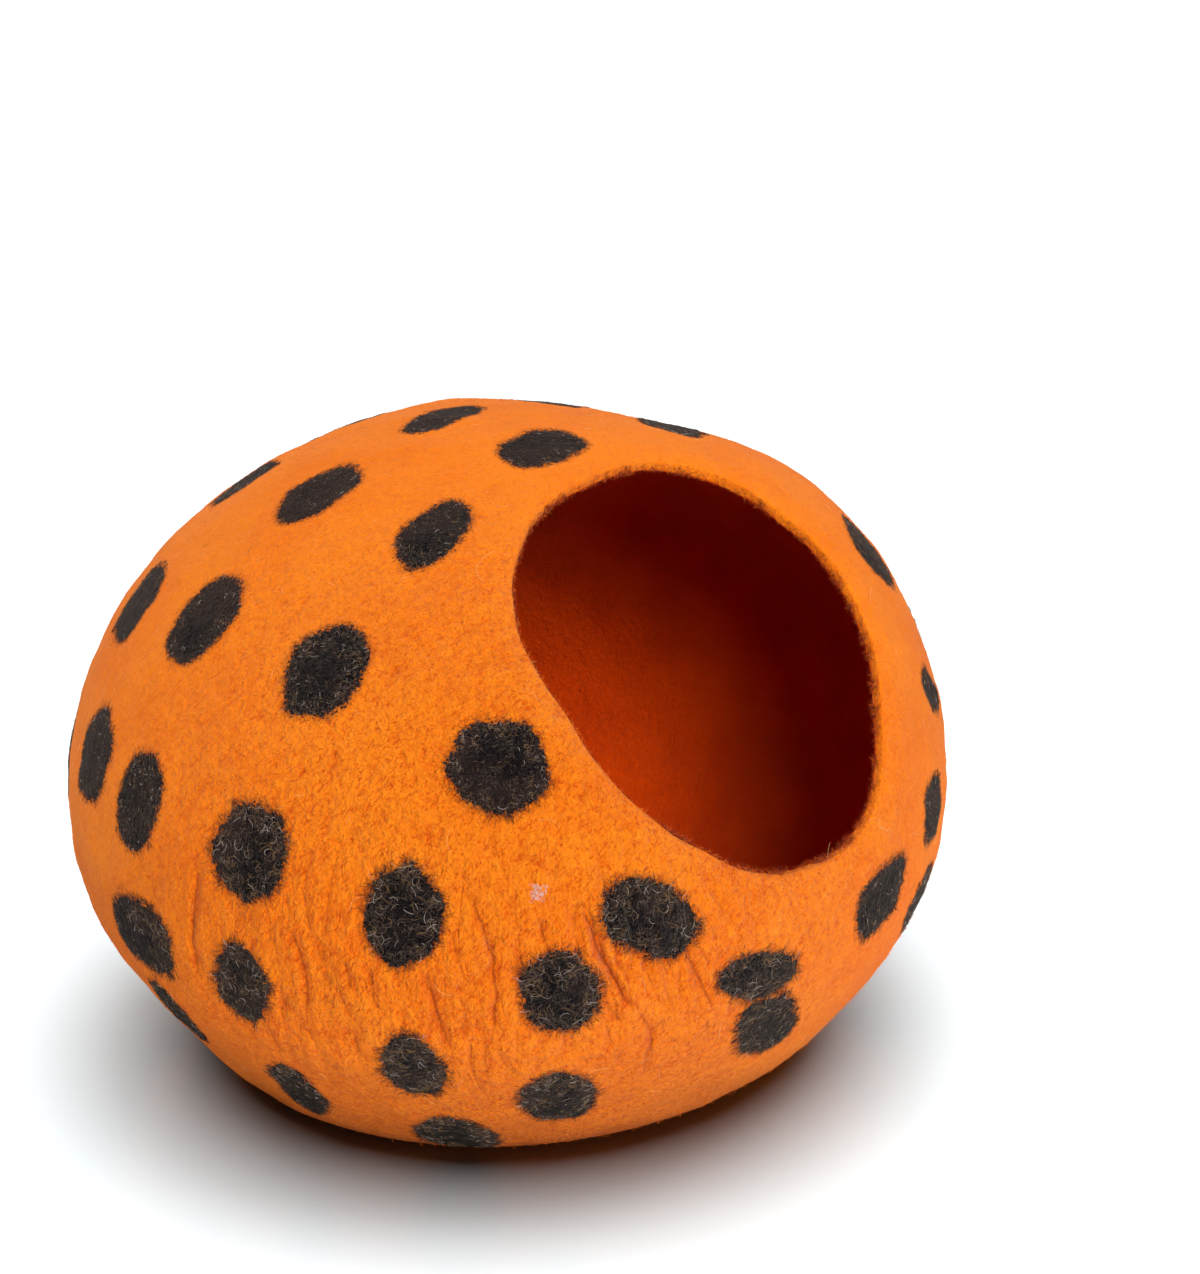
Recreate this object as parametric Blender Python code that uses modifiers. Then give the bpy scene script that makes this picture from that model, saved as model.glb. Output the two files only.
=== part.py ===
# Felt cat cave: one seamless hollow egg of thick wool felt, wider than deep, standing on its
# flattened underside, with one large mouth that faces forward (-Y) and up.
# Metres, +Z up. The origin is on the floor, under the middle of the body.
import math

import bmesh
import bpy
from mathutils import Vector

# ---- driving dimensions -------------------------------------------------------------------
WIDTH = 0.430                # across, along X
DEPTH = 0.402                # front to back, along Y
HEIGHT = 0.305               # floor to crown
WALL = 0.008                 # thickness of the felt
RIM_ROUND = 0.0034           # rounding of the cut edge round the mouth
RIM_STEPS = 2                # facets of that rounding
RIM_CORNER = 50              # degrees: the only edges that turn more than this are the rim's

WAIST = 0.130                # height of the widest level
CROWN_FULLNESS = 2.0         # 2 is an ellipse, and less runs in more like a cone
BELLY_FULLNESS = 1.73
BELLY_BLEND = 0.42           # sine of the angle below level where the belly's own form is reached
BELLY_DROP = 0.190           # depth that the belly would have if no floor flattened it
FLOOR_BLEND = 0.018          # height over which the belly rolls on to its flat underside
LEAN_BACK = 0.03             # how far the body leans back for each unit of height

MOUTH_PITCH = 37             # degrees by which the middle of the mouth looks up

# The mouth's edge, as angles in degrees, seen from the middle of the body. Round is the way
# round the mouth, from the body's +X side over its top, in even steps, and out is how far the
# edge is from the mouth's middle.
MOUTH_EDGE = (
    # round, out
    (0, 31.8),
    (30, 34.8),
    (60, 37.8),
    (90, 33.4),
    (120, 31.2),
    (150, 28.5),
    (180, 25.0),
    (210, 24.9),
    (240, 26.8),
    (270, 30.3),
    (300, 32.4),
    (330, 29.4),
)

# Where hand felting left the egg uneven: the felt swells out, or sinks in where outward is
# negative. Bearing is from the front (-Y) towards +X, rise is from level, and reach is how
# far the swelling spreads, all in degrees from the middle of the body. Outward is in metres.
SWELLS = (
    # bearing, rise, reach, outward
    (72, 38, 14, 0.0063),        # shoulder to the right of the mouth
    (103, 60, 14, -0.0042),      # flat right of the crown
    (-127, -3, 14, 0.0010),      # left flank
    (-113, -31, 14, -0.0016),
    (-86, -57, 14, 0.0050),      # roll of felt over the left of the underside
    (6, -58, 14, -0.0032),       # under the front
    (36, -32, 14, 0.0023),
    (175, 12, 14, -0.0025),      # back
    (150, -8, 14, 0.0030),
    (122, -30, 14, -0.0025),
)

CUTS = 16                    # grid lines that cut each side of the cage

FELT_ORANGE = (0.86, 0.23, 0.02, 1.0)
FELT_ROUGHNESS = 0.95


# ---- form ---------------------------------------------------------------------------------
def direction(bearing, rise):
    """Unit vector at a bearing from the front and a rise from level, in degrees."""
    turn, lift = math.radians(bearing), math.radians(rise)
    return Vector((math.sin(turn) * math.cos(lift), -math.cos(turn) * math.cos(lift), math.sin(lift)))


def mouth_reach(turn):
    """Angle from the mouth's middle to its edge, at an angle round the mouth, by a smooth
    closed curve through the rows of MOUTH_EDGE."""
    rows = len(MOUTH_EDGE)
    place = turn / math.tau * rows
    row = math.floor(place)
    step = place - row
    before, here, after, beyond = (MOUTH_EDGE[(row + offset) % rows][1] for offset in (-1, 0, 1, 2))
    curve = here + 0.5 * step * (
        after - before
        + step * (2 * before - 5 * here + 4 * after - beyond
                  + step * (3 * (here - after) + beyond - before)))
    return math.radians(curve)


def floored(height):
    """Height on the finished body: below the floor it is flattened, with a soft roll above it."""
    if height >= FLOOR_BLEND:
        return height
    return max(height + FLOOR_BLEND, 0) ** 2 / (4 * FLOOR_BLEND)


def egg_point(way):
    """Point of the outer surface that is seen from the middle of the body along a unit vector."""
    across = math.hypot(way.x / (WIDTH / 2), way.y / (DEPTH / 2))
    reach = HEIGHT - WAIST if way.z >= 0 else BELLY_DROP
    below = min(max(-way.z / BELLY_BLEND, 0), 1)
    fullness = CROWN_FULLNESS + (BELLY_FULLNESS - CROWN_FULLNESS) * below * below * (3 - 2 * below)
    size = (across ** fullness + (abs(way.z) / reach) ** fullness) ** (-1 / fullness)
    for bearing, rise, spread, outward in SWELLS:
        apart = math.degrees(way.angle(direction(bearing, rise)))
        size += outward * math.exp(-0.5 * (apart / spread) ** 2)
    point = way * size
    height = floored(point.z + WAIST)
    return Vector((point.x, point.y + LEAN_BACK * (height - WAIST), height))


def felt_way(corner):
    """Unit vector for a point of the cage, a cube that is open at +Z. The cage's open top
    becomes the mouth: its edge goes to the mouth's edge, and the rest is spread evenly."""
    x, y, z = (math.tan(value * math.pi / 4) for value in corner)
    from_axis = math.atan2(math.hypot(x, y), z)
    turn = math.atan2(y, x)
    cage_edge = math.atan(1 / max(abs(math.cos(turn)), abs(math.sin(turn))))
    edge = mouth_reach(turn)
    from_axis = edge + (from_axis - cage_edge) * (math.pi - edge) / (math.pi - cage_edge)
    out = math.sin(from_axis)
    local = Vector((out * math.cos(turn), out * math.sin(turn), math.cos(from_axis)))
    sideways = Vector((1, 0, 0))
    axis = direction(0, MOUTH_PITCH)
    upward = axis.cross(sideways)
    return sideways * local.x + upward * local.y + axis * local.z


# ---- build --------------------------------------------------------------------------------
def clear_scene():
    for item in list(bpy.data.objects):
        bpy.data.objects.remove(item, do_unlink=True)


def felt_material():
    material = bpy.data.materials.new("orange_felt")
    material.use_nodes = True
    shader = material.node_tree.nodes["Principled BSDF"]
    shader.inputs["Base Color"].default_value = FELT_ORANGE
    shader.inputs["Roughness"].default_value = FELT_ROUGHNESS
    shader.inputs["Metallic"].default_value = 0.0
    return material


def felt_skin():
    """Outer face of the felt: the cage, opened at the mouth and shaped to the egg."""
    cage = bmesh.new()
    bmesh.ops.create_cube(cage, size=2)
    lid = [face for face in cage.faces if face.normal.z > 0.9]
    bmesh.ops.delete(cage, geom=lid, context="FACES")
    bmesh.ops.subdivide_edges(cage, edges=cage.edges[:], cuts=CUTS, use_grid_fill=True)
    for vert in cage.verts:
        vert.co = egg_point(felt_way(vert.co))
    low = [min(vert.co[axis] for vert in cage.verts) for axis in (0, 1)]
    high = [max(vert.co[axis] for vert in cage.verts) for axis in (0, 1)]
    middle = Vector(((low[0] + high[0]) / 2, (low[1] + high[1]) / 2, 0))
    bmesh.ops.translate(cage, verts=cage.verts[:], vec=-middle)
    bmesh.ops.recalc_face_normals(cage, faces=cage.faces[:])
    mesh = bpy.data.meshes.new("felt_shell")
    cage.to_mesh(mesh)
    cage.free()
    mesh.shade_smooth()
    return mesh


def felt_shell(collection):
    shell = bpy.data.objects.new("felt_shell", felt_skin())
    shell.data.materials.append(felt_material())
    collection.objects.link(shell)

    wall = shell.modifiers.new("wall", "SOLIDIFY")
    wall.thickness = WALL
    wall.offset = -1.0
    wall.use_even_offset = True

    rim = shell.modifiers.new("rim", "BEVEL")
    rim.width = RIM_ROUND
    rim.segments = RIM_STEPS
    rim.limit_method = "ANGLE"
    rim.angle_limit = math.radians(RIM_CORNER)


def main():
    clear_scene()
    collection = bpy.data.collections.new("felt_cat_cave")
    bpy.context.scene.collection.children.link(collection)
    felt_shell(collection)


main()
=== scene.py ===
import math
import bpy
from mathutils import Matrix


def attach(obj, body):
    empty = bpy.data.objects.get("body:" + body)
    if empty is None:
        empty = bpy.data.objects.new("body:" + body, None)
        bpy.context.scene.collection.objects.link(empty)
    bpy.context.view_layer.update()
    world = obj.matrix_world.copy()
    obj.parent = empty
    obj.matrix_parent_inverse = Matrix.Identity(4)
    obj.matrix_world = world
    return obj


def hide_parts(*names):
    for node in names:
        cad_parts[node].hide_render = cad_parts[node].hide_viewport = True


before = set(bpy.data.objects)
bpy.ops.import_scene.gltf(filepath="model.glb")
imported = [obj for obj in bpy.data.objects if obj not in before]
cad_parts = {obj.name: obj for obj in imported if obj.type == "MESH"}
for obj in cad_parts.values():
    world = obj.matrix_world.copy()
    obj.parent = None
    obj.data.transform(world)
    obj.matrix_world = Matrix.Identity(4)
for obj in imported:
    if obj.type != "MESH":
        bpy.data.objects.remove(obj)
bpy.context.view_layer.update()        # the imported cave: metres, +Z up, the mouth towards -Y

from types import SimpleNamespace

import bpy
import numpy as np
from mathutils import Vector, noise

scene = bpy.context.scene

# The egg and its mouth. A bearing goes from the front (-Y) towards +X and a rise goes up from
# level, both in degrees as seen from the middle of the body.
caveForm = {
    "width": 0.430,
    "depth": 0.402,
    "height": 0.305,
    "wall": 0.008,
    "waist": 0.130,              # height of the widest level
    "crownFullness": 2.0,        # 2 is an ellipse, less runs in like a cone
    "bellyFullness": 1.73,
    "bellyBlend": 0.42,          # sine of the angle below level where the belly's form is reached
    "bellyDrop": 0.190,          # depth of the belly if no floor flattened it
    "floorBlend": 0.018,         # height over which it rolls on to its flat underside
    "leanBack": 0.03,
    "mouthPitch": 37,            # how far the mouth looks up
    # how far the mouth's edge is from its middle, every 30 degrees from the +X side over the top
    "mouthEdge": (31.8, 34.8, 37.8, 33.4, 31.2, 28.5, 25.0, 24.9, 26.8, 30.3, 32.4, 29.4),
    "mouthWaver": (              # how the cut edge wanders: degrees, waves round it, their start
        (0.11, 7, 1),
        (0.066, 12, 4),
        (0.066, 19, 0),
    ),
    "swells": (                  # bearing, rise, reach, outward in metres
        (72, 38, 14, 0.0063),
        (103, 60, 14, -0.0042),
        (-127, -3, 14, 0.0010),
        (-113, -31, 14, -0.0016),
        (-86, -57, 14, 0.0050),
        (6, -58, 14, -0.0032),
        (36, -32, 14, 0.0023),
        (175, 12, 14, -0.0025),
        (150, -8, 14, 0.0030),
        (122, -30, 14, -0.0025),
    ),
}


def wayTo(bearing, rise):
    turn, lift = np.radians(bearing), np.radians(rise)
    return np.stack([np.sin(turn) * np.cos(lift), -np.cos(turn) * np.cos(lift), np.sin(lift)], -1)


def eased(start, end, value):
    share = np.clip((value - start) / (end - start), 0, 1)
    return share * share * (3 - 2 * share)


def normalised(vectors):
    return vectors / np.maximum(np.linalg.norm(vectors, axis=-1, keepdims=True), 1e-12)


def eggPoints(ways, form=caveForm):
    # where the outer face is, along unit vectors from the middle of the body
    across = np.hypot(ways[:, 0] / (form["width"] / 2), ways[:, 1] / (form["depth"] / 2))
    reach = np.where(ways[:, 2] >= 0, form["height"] - form["waist"], form["bellyDrop"])
    fuller = form["bellyFullness"] - form["crownFullness"]
    fullness = form["crownFullness"] + fuller * eased(0, form["bellyBlend"], -ways[:, 2])
    size = (across ** fullness + (np.abs(ways[:, 2]) / reach) ** fullness) ** (-1 / fullness)
    for bearing, rise, spread, outward in form["swells"]:
        apart = np.degrees(np.arccos(np.clip(ways @ wayTo(bearing, rise), -1, 1)))
        size += outward * np.exp(-0.5 * (apart / spread) ** 2)
    points = ways * size[:, None]
    height = points[:, 2] + form["waist"]
    blend = form["floorBlend"]
    height = np.where(height >= blend, height, np.maximum(height + blend, 0) ** 2 / (4 * blend))
    points[:, 1] += form["leanBack"] * (height - form["waist"])
    points[:, 2] = height
    return points


def mouthReach(turn, form=caveForm):
    # a smooth closed curve through the mouth's edge
    rows = np.array(form["mouthEdge"])
    place = (turn / math.tau * len(rows)) % len(rows)
    row = np.floor(place).astype(int)
    step = place - row
    before, here, after, beyond = (rows[(row + offset) % len(rows)] for offset in (-1, 0, 1, 2))
    bend = 2 * before - 5 * here + 4 * after - beyond + step * (3 * (here - after) + beyond - before)
    waver = sum(size * np.sin(waves * turn + start) for size, waves, start in form["mouthWaver"])
    return np.radians(here + 0.5 * step * (after - before + step * bend) + waver)


def feltWays(cage, form=caveForm):
    # a cube that is open at +Z becomes unit vectors, and its open edge becomes the mouth's
    x, y, z = np.tan(cage.T * math.pi / 4)
    turn = np.arctan2(y, x)
    fromAxis = np.arctan2(np.hypot(x, y), z)
    cageEdge = np.arctan(1 / np.maximum(np.abs(np.cos(turn)), np.abs(np.sin(turn))))
    edge = mouthReach(turn)
    fromAxis = edge + (fromAxis - cageEdge) * (math.pi - edge) / (math.pi - cageEdge)
    axis = wayTo(0, form["mouthPitch"])
    sideways = np.array([1.0, 0.0, 0.0])
    upward = np.cross(axis, sideways)
    out = np.sin(fromAxis)
    return (np.outer(out * np.cos(turn), sideways) + np.outer(out * np.sin(turn), upward)
            + np.outer(np.cos(fromAxis), axis))


allBearings, allRises = np.meshgrid(np.arange(-180, 180, 2), np.arange(-88, 90, 2))
roughEgg = eggPoints(wayTo(allBearings.ravel(), allRises.ravel()))
bodyShift = -(roughEgg.min(0) + roughEgg.max(0)) / 2 * (1, 1, 0)


def feltPoint(bearing, rise):
    return eggPoints(wayTo(bearing, rise)[None])[0] + bodyShift


def localFrame(bearing, rise):
    # the outer face's own point, right and up at a bearing and rise
    reach = 0.5
    west, east = feltPoint(bearing - reach, rise), feltPoint(bearing + reach, rise)
    low, high = feltPoint(bearing, rise - reach), feltPoint(bearing, rise + reach)
    outward = np.cross(east - west, high - low)
    outward /= np.linalg.norm(outward)
    right = np.cross((0, 0, 1), outward)
    if np.linalg.norm(right) < 0.001:            # the flat underside looks straight down
        right = wayTo(bearing + 90, 0)
    right /= np.linalg.norm(right)
    return feltPoint(bearing, rise), right, np.cross(outward, right)


def onFelt(points, bearing, rise, lean):
    # millimetres along and across a line that leans from the right, kept true round the curve
    centre, right, up = localFrame(bearing, rise)
    apart = (points - centre) * 1000
    flatRight, flatUp = apart @ right, apart @ up
    stretch = np.linalg.norm(apart, axis=1) / np.maximum(np.hypot(flatRight, flatUp), 1e-6)
    stretch = np.minimum(stretch, 3)
    turn = math.radians(lean)
    along = (flatRight * math.cos(turn) + flatUp * math.sin(turn)) * stretch
    across = (flatUp * math.cos(turn) - flatRight * math.sin(turn)) * stretch
    return along, across


def wander(points, spacing, seed, stretch=(1, 1, 1)):
    # soft noise from -1 to 1 with lumps about so many metres apart
    scaled = points / spacing / np.array(stretch) + seed * 7.31
    return np.array([noise.noise(Vector(place)) for place in scaled]) * 1.6


# The dark spots. Long runs along the lean, which is counted from the right, seen from outside.
spotLayout = {
    "rows": (                    # bearing, rise, long mm, short mm, lean, corners, first corner
        (-160.0, 79.0, 50, 23, 4, 4, 40),
        (87.5, 57.5, 53, 31, -52, 4, 30),
        (-4.5, 80.0, 46, 30, 10, 4, 45),
        (-138.5, 47.5, 38, 31, 80, 4, 0),
        (-102.0, 59.0, 45, 33, -80, 4, 20),
        (-57.5, 58.5, 45, 26, 70, 4, 30),
        (57.0, 31.5, 39, 32, 52, 4, 10),
        (-117.5, 30.0, 43, 38, -40, 4, 0),
        (-94.5, 35.5, 47, 36, 88, 4, 45),
        (-67.0, 35.0, 46, 36, 75, 5, 20),
        (46.0, 14.2, 28, 19, -38, 4, 0),
        (-104.3, 12.8, 43, 37, 90, 5, 10),
        (-122.0, 5.0, 44, 34, 80, 4, 0),
        (-39.5, 25.6, 44, 40, -22, 5, 75),
        (-90.5, 12.3, 46, 32, 86, 4, 45),
        (35.0, 2.3, 34, 29, 42, 4, 0),
        (-70.8, 11.8, 42, 37, 88, 5, 30),
        (17.8, -2.6, 45, 32, 16, 4, 30),
        (33.5, -10.5, 40, 32, -5, 4, 0),
        (-51.0, 7.3, 45, 33, 84, 6, 0),
        (-21.0, 5.8, 50, 31, -37, 3, 0),
        (-89.2, -4.7, 50, 36, 5, 4, 40),
        (-72.0, -5.2, 40, 29, 86, 4, 20),
        (-32.5, -2.4, 41, 34, -73, 5, 10),
        (-5.4, -5.7, 45, 23, -15, 4, 0),
        (-1.4, -16.2, 52, 32, -55, 4, 20),
        (-89.0, -17.5, 44, 30, 85, 4, 0),
        (-51.0, -14.4, 44, 28, -84, 3, 60),
        (-32.0, -22.4, 47, 34, -75, 5, 30),
        (-71.0, -25.7, 48, 27, 85, 4, 0),
        (-48.0, -34.0, 47, 36, -75, 4, 0),
        (128.0, 60.0, 46, 34, -75, 4, 0),
        (-171.0, 55.0, 46, 34, 50, 4, 0),
    ),
    "cornering": 0.04,           # how far a corner stands out, as a share of the radius
    "reach": 0.06,               # metres from a spot's middle within which its outline is sought
    "wobbles": ((1.3, 0.011, 3), (0.65, 0.005, 4)),     # mm, metres apart, seed
    "wobbleReach": 12,           # mm on either side of an outline that wander with it
    "plainView": (-38, 25),      # the side on which only the rows above have spots
    "plainReach": 96,
    "spacing": 0.064,            # metres between the spots on the far side
    "rimRoom": 12,               # degrees kept clear round the mouth
    "farLong": (38, 52),
    "farShort": (29, 40),
    "tries": 900,
    "seed": 11,
}


def spotRows(layout=spotLayout):
    # the far side is filled with spots at the same spacing
    draw = np.random.default_rng(layout["seed"])
    rows = list(layout["rows"])
    centres = [feltPoint(row[0], row[1]) for row in rows]
    plainWay, mouthWay = wayTo(*layout["plainView"]), wayTo(0, caveForm["mouthPitch"])
    rimReach = max(caveForm["mouthEdge"]) + layout["rimRoom"]
    for _ in range(layout["tries"]):
        bearing, rise = draw.uniform(-180, 180), math.degrees(math.asin(draw.uniform(-0.98, 0.98)))
        long, short = draw.uniform(*layout["farLong"]), draw.uniform(*layout["farShort"])
        lean, corners, first = draw.uniform(-90, 90), draw.integers(3, 6), draw.uniform(0, 90)
        way = wayTo(bearing, rise)
        fromView = math.degrees(math.acos(way @ plainWay))
        fromMouth = math.degrees(math.acos(way @ mouthWay))
        point = feltPoint(bearing, rise)
        nearest = min(np.linalg.norm(point - centre) for centre in centres)
        if fromView > layout["plainReach"] and fromMouth > rimReach and nearest > layout["spacing"]:
            rows.append((bearing, rise, long, short, lean, corners, first))
            centres.append(point)
    print("spots:", len(rows))
    return rows


def spotDistances(points, rows, layout=spotLayout):
    # millimetres to the nearest spot's outline, negative inside it
    nearest = np.full(len(points), layout["reach"] * 1000)
    for bearing, rise, long, short, lean, corners, first in rows:
        near = np.linalg.norm(points - feltPoint(bearing, rise), axis=1) < layout["reach"]
        along, across = onFelt(points[near], bearing, rise, lean)
        share = np.hypot(along / (long / 2), across / (short / 2))
        angle = np.arctan2(across / short, along / long) - math.radians(first)
        outline = 1 + layout["cornering"] * np.cos(corners * angle)
        apart = np.hypot(along, across) * (1 - outline / np.maximum(share, 0.05))
        nearest[near] = np.minimum(nearest[near], apart)
    close = np.abs(nearest) < layout["wobbleReach"]
    for size, spacing, seed in layout["wobbles"]:
        nearest[close] += size * wander(points[close], spacing, seed)
    return nearest


# The skin's relief. Its main creases are listed, as troughs.
skinRelief = {
    # width mm, depth mm, and the bearing and rise of each bend
    "creases": (
        (1.2, 0.75, (-43.5, 11.8), (-42.2, 8.8), (-41.2, 5.2), (-40.2, 2.5), (-40.5, 0.0), (-40.0, -2.2),
         (-40.5, -5.2), (-40.2, -8.8)),
        (1.2, 0.45, (-41.2, -9.0), (-41.8, -12.2), (-41.5, -16.5)),
        (1.2, 1.1, (-29.8, 9.0), (-28.8, 6.2), (-28.0, 3.5), (-27.0, 1.2), (-26.0, -0.8), (-25.0, -3.0),
         (-24.2, -4.8), (-23.0, -6.4)),
        (1.2, 0.5, (-23.4, -5.8), (-22.2, -7.4), (-20.8, -9.4), (-20.2, -11.8), (-20.6, -15.2),
         (-20.2, -19.5)),
        (1.1, 0.45, (-27.2, -3.8), (-26.0, -6.0), (-24.5, -8.0)),
        (1.2, 0.75, (-48.2, 1.2), (-47.8, -1.5), (-47.2, -4.2), (-46.5, -7.5), (-45.8, -10.5)),
        (1.3, 0.45, (-45.2, 6.8), (-44.8, 4.0), (-44.2, 1.5)),
        (1.3, 0.45, (-44.2, -1.8), (-43.8, -5.0), (-44.5, -8.2)),
        (1.1, 0.55, (-34.2, 7.8), (-34.8, 5.8), (-34.0, 4.0)),
        (1.2, 0.45, (-32.2, -8.0), (-31.5, -11.5)),
        (1.2, 0.75, (-16.0, 0.0), (-14.8, -3.0), (-13.5, -6.0), (-12.2, -8.5)),
        (1.2, 0.4, (-13.0, -9.5), (-12.0, -14.0)),
        (1.2, 0.4, (-41.8, 13.5), (-40.8, 10.8)),
        (1.7, 0.75, (-78.2, 9.2), (-78.0, 6.0), (-78.5, 2.5), (-78.8, -1.0), (-78.5, -3.5), (-78.8, -6.8)),
        (1.2, 0.75, (-65.2, 4.8), (-63.8, 2.5), (-63.2, 0.2), (-62.8, -2.2), (-63.0, -5.0), (-63.5, -8.5)),
        (1.2, 0.75, (-58.0, 1.5), (-57.5, -0.8), (-57.5, -3.2)),
        (1.2, 0.5, (-59.2, -1.2), (-58.5, -4.0), (-57.8, -6.5)),
        (1.3, 0.6, (-55.2, 1.0), (-54.8, -1.5), (-54.2, -5.5)),
        (1.2, 0.4, (-65.2, -4.2), (-67.2, -8.5)),
        (1.2, 0.45, (-69.2, -10.2), (-69.2, -16.0)),
        (1.2, 0.4, (-57.8, -9.5), (-57.5, -13.8)),
        (1.2, 0.35, (-61.5, -15.0), (-61.5, -19.8)),
    ),
    "creaseStep": 0.4,           # degrees between the points that a crease is followed by
    "creaseWaver": (0.5, 0.007), # mm, and metres apart
    "creaseLips": (0.35, 2.4),   # height as a share of the depth, and place in widths
    "creaseEnds": 0.2,           # share of its length over which a crease fades
    "creaseReach": 0.009,        # metres round a crease that are looked at
    "wrinkled": (-44, -1, 48, 23),   # bearing, rise and half extents of the wrinkled belly
    "wrinkledFade": (0.5, 1.1),  # shares of those extents between which the wrinkles fade
    "shaggy": (                  # bearing, rise, and reaches between which the wool lies down
        (-36, 4, 26, 80),
        (162, -4, 18, 70),
    ),
    "foldSlant": (0.35, 0.0065), # how far the folds lean with the rise, and more with the bearing
    "foldRadius": 0.2,           # metres from the middle at which the folds' places are counted
    # height in mm, metres apart, and how much longer the folds are than wide
    "lumps": (0.7, 0.026),
    "pebbles": (0.3, 0.009),
    "folds": (1.0, 0.0105, 4.5),     # on the wrinkled belly
    "waves": (0.42, 0.0062, 3.0),    # finer, along the same folds
    "foldsElsewhere": 0.12,      # mm
}


def turnAndRise(points):
    middle = points - bodyShift - (0, 0, caveForm["waist"])
    turn = np.degrees(np.arctan2(middle[:, 0], -middle[:, 1]))
    return turn, np.degrees(np.arctan2(middle[:, 2], np.hypot(middle[:, 0], middle[:, 1])))


def wrinkledShare(points, relief=skinRelief):
    bearing, rise, halfBearing, halfRise = relief["wrinkled"]
    turn, lift = turnAndRise(points)
    share = np.hypot((turn - bearing) / halfBearing, (lift - rise) / halfRise)
    return 1 - eased(*relief["wrinkledFade"], share)


def shaggyShare(points, relief=skinRelief):
    way = normalised(points - bodyShift - (0, 0, caveForm["waist"]))
    share = np.zeros(len(points))
    for bearing, rise, full, least in relief["shaggy"]:
        apart = np.degrees(np.arccos(np.clip(way @ wayTo(bearing, rise), -1, 1)))
        share = np.maximum(share, eased(least, full, apart))
    return share


def foldPlaces(points, relief=skinRelief):
    # metres across and along the folds of the belly
    slant, more = relief["foldSlant"]
    turn, lift = turnAndRise(points)
    places = np.stack([turn + (slant + more * turn) * lift, lift, np.zeros(len(points))], 1)
    return np.radians(places) * relief["foldRadius"]


def creasePath(bends, relief=skinRelief):
    # points along a crease, and their share of its length
    bends = np.array(bends)
    passed = np.append(0, np.cumsum(np.linalg.norm(np.diff(bends, axis=0), axis=1)))
    share = np.linspace(0, 1, int(passed[-1] / relief["creaseStep"]) + 2)
    rows = [np.interp(share * passed[-1], passed, bends[:, k]) for k in range(2)]
    bearing, rise = (np.convolve(np.pad(row, 3, "edge"), np.full(7, 1 / 7), "valid") for row in rows)
    return eggPoints(wayTo(bearing, rise)) + bodyShift, share


def creaseValues(points, relief=skinRelief):
    # height in mm, and the nearest crease's side in mm and its share
    height, side, share = np.zeros(len(points)), np.full(len(points), 9.0), np.zeros(len(points))
    waver, spacing = relief["creaseWaver"]
    lipHeight, lipPlace = relief["creaseLips"]
    ends = relief["creaseEnds"]
    for width, depth, *bends in relief["creases"]:
        path, along = creasePath(bends)
        middle = path.mean(0)
        reach = np.linalg.norm(path - middle, axis=1).max() + relief["creaseReach"]
        near = np.nonzero(np.linalg.norm(points - middle, axis=1) < reach)[0]
        apart = points[near][:, None] - path[None]
        nearest = np.linalg.norm(apart, axis=2).argmin(1)
        chosen = apart[np.arange(len(near)), nearest]
        level = normalised(np.cross(normalised(path[-1] - path[0]), path - bodyShift))[nearest]
        aside = (chosen * level).sum(1)
        across = aside * 1000 + waver * wander(points[near], spacing, 8)
        past = np.linalg.norm(chosen - level * aside[:, None], axis=1) * 1000
        fade = eased(0, ends, along[nearest]) * eased(1, 1 - ends, along[nearest]) * eased(6, 2, past)
        trough = np.exp(-0.5 * (across / width) ** 2)
        lips = lipHeight * np.exp(-0.5 * ((np.abs(across) - lipPlace * width) / width) ** 2)
        height[near] += depth * fade * (lips - trough)
        here = depth * fade * (1 - eased(2, 5, np.abs(across)))
        better = here > share[near]
        share[near[better]], side[near[better]] = here[better], across[better]
    return height, side, share


def reliefValues(points, relief=skinRelief):
    # millimetres that the skin stands out, and what the material needs of it
    wrinkled, folds = wrinkledShare(points), foldPlaces(points)
    (lump, lumpSpacing), (pebble, pebbleSpacing) = relief["lumps"], relief["pebbles"]
    (fold, foldSpacing, foldLong), (wave, waveSpacing, waveLong) = relief["folds"], relief["waves"]
    valley = wander(folds, foldSpacing, 9, (1, foldLong, 1))
    height, side, share = creaseValues(points)
    height += lump * wander(points, lumpSpacing, 1) + pebble * wander(points, pebbleSpacing, 2)
    depth = relief["foldsElsewhere"] + (fold - relief["foldsElsewhere"]) * wrinkled
    height += depth * (np.minimum(np.abs(valley) * 2.2, 1) - 0.7)        # sharp valleys, broad ridges
    height += wave * wrinkled * wander(folds, waveSpacing, 10, (1, waveLong, 1))
    return {"relief": height, "wrinkled": wrinkled, "shaggy": shaggyShare(points), "valley": valley,
            "foldAcross": folds[:, 0], "foldAlong": folds[:, 1], "creaseSide": side, "creaseShare": share}


# The shell itself, as its outer and inner faces, joined round the rim
shellMake = {
    "gridCuts": 49,
    "outerCuts": 1,              # more cuts on the outer face, clear of the rim
    "foldCuts": 1,               # and again where the belly is wrinkled
    "foldsFrom": 0.12,           # share of the wrinkles from which it is cut again
    "rimRow": 0.6,               # how much wider the first row round the mouth is, for the bevel
    "rimRound": 0.0037,
    "rimSteps": 5,
    "rimCorner": 50,             # degrees: only the rim's edges turn more
    "rimRoll": (0.013, 0.0026),  # how far from the mouth the felt starts to roll over, and how much
    "rollCuts": 2,
    "relievedFrom": (0.001, 0.02),   # heights over which the relief sets in, above the flat underside
}


def pointsOf(mesh):
    found = np.empty(len(mesh.vertices) * 3)
    mesh.vertices.foreach_get("co", found)
    return found.reshape(-1, 3)


def normalsOf(mesh):
    found = np.empty(len(mesh.vertices) * 3)
    mesh.vertex_normals.foreach_get("vector", found)
    return found.reshape(-1, 3)


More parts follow.
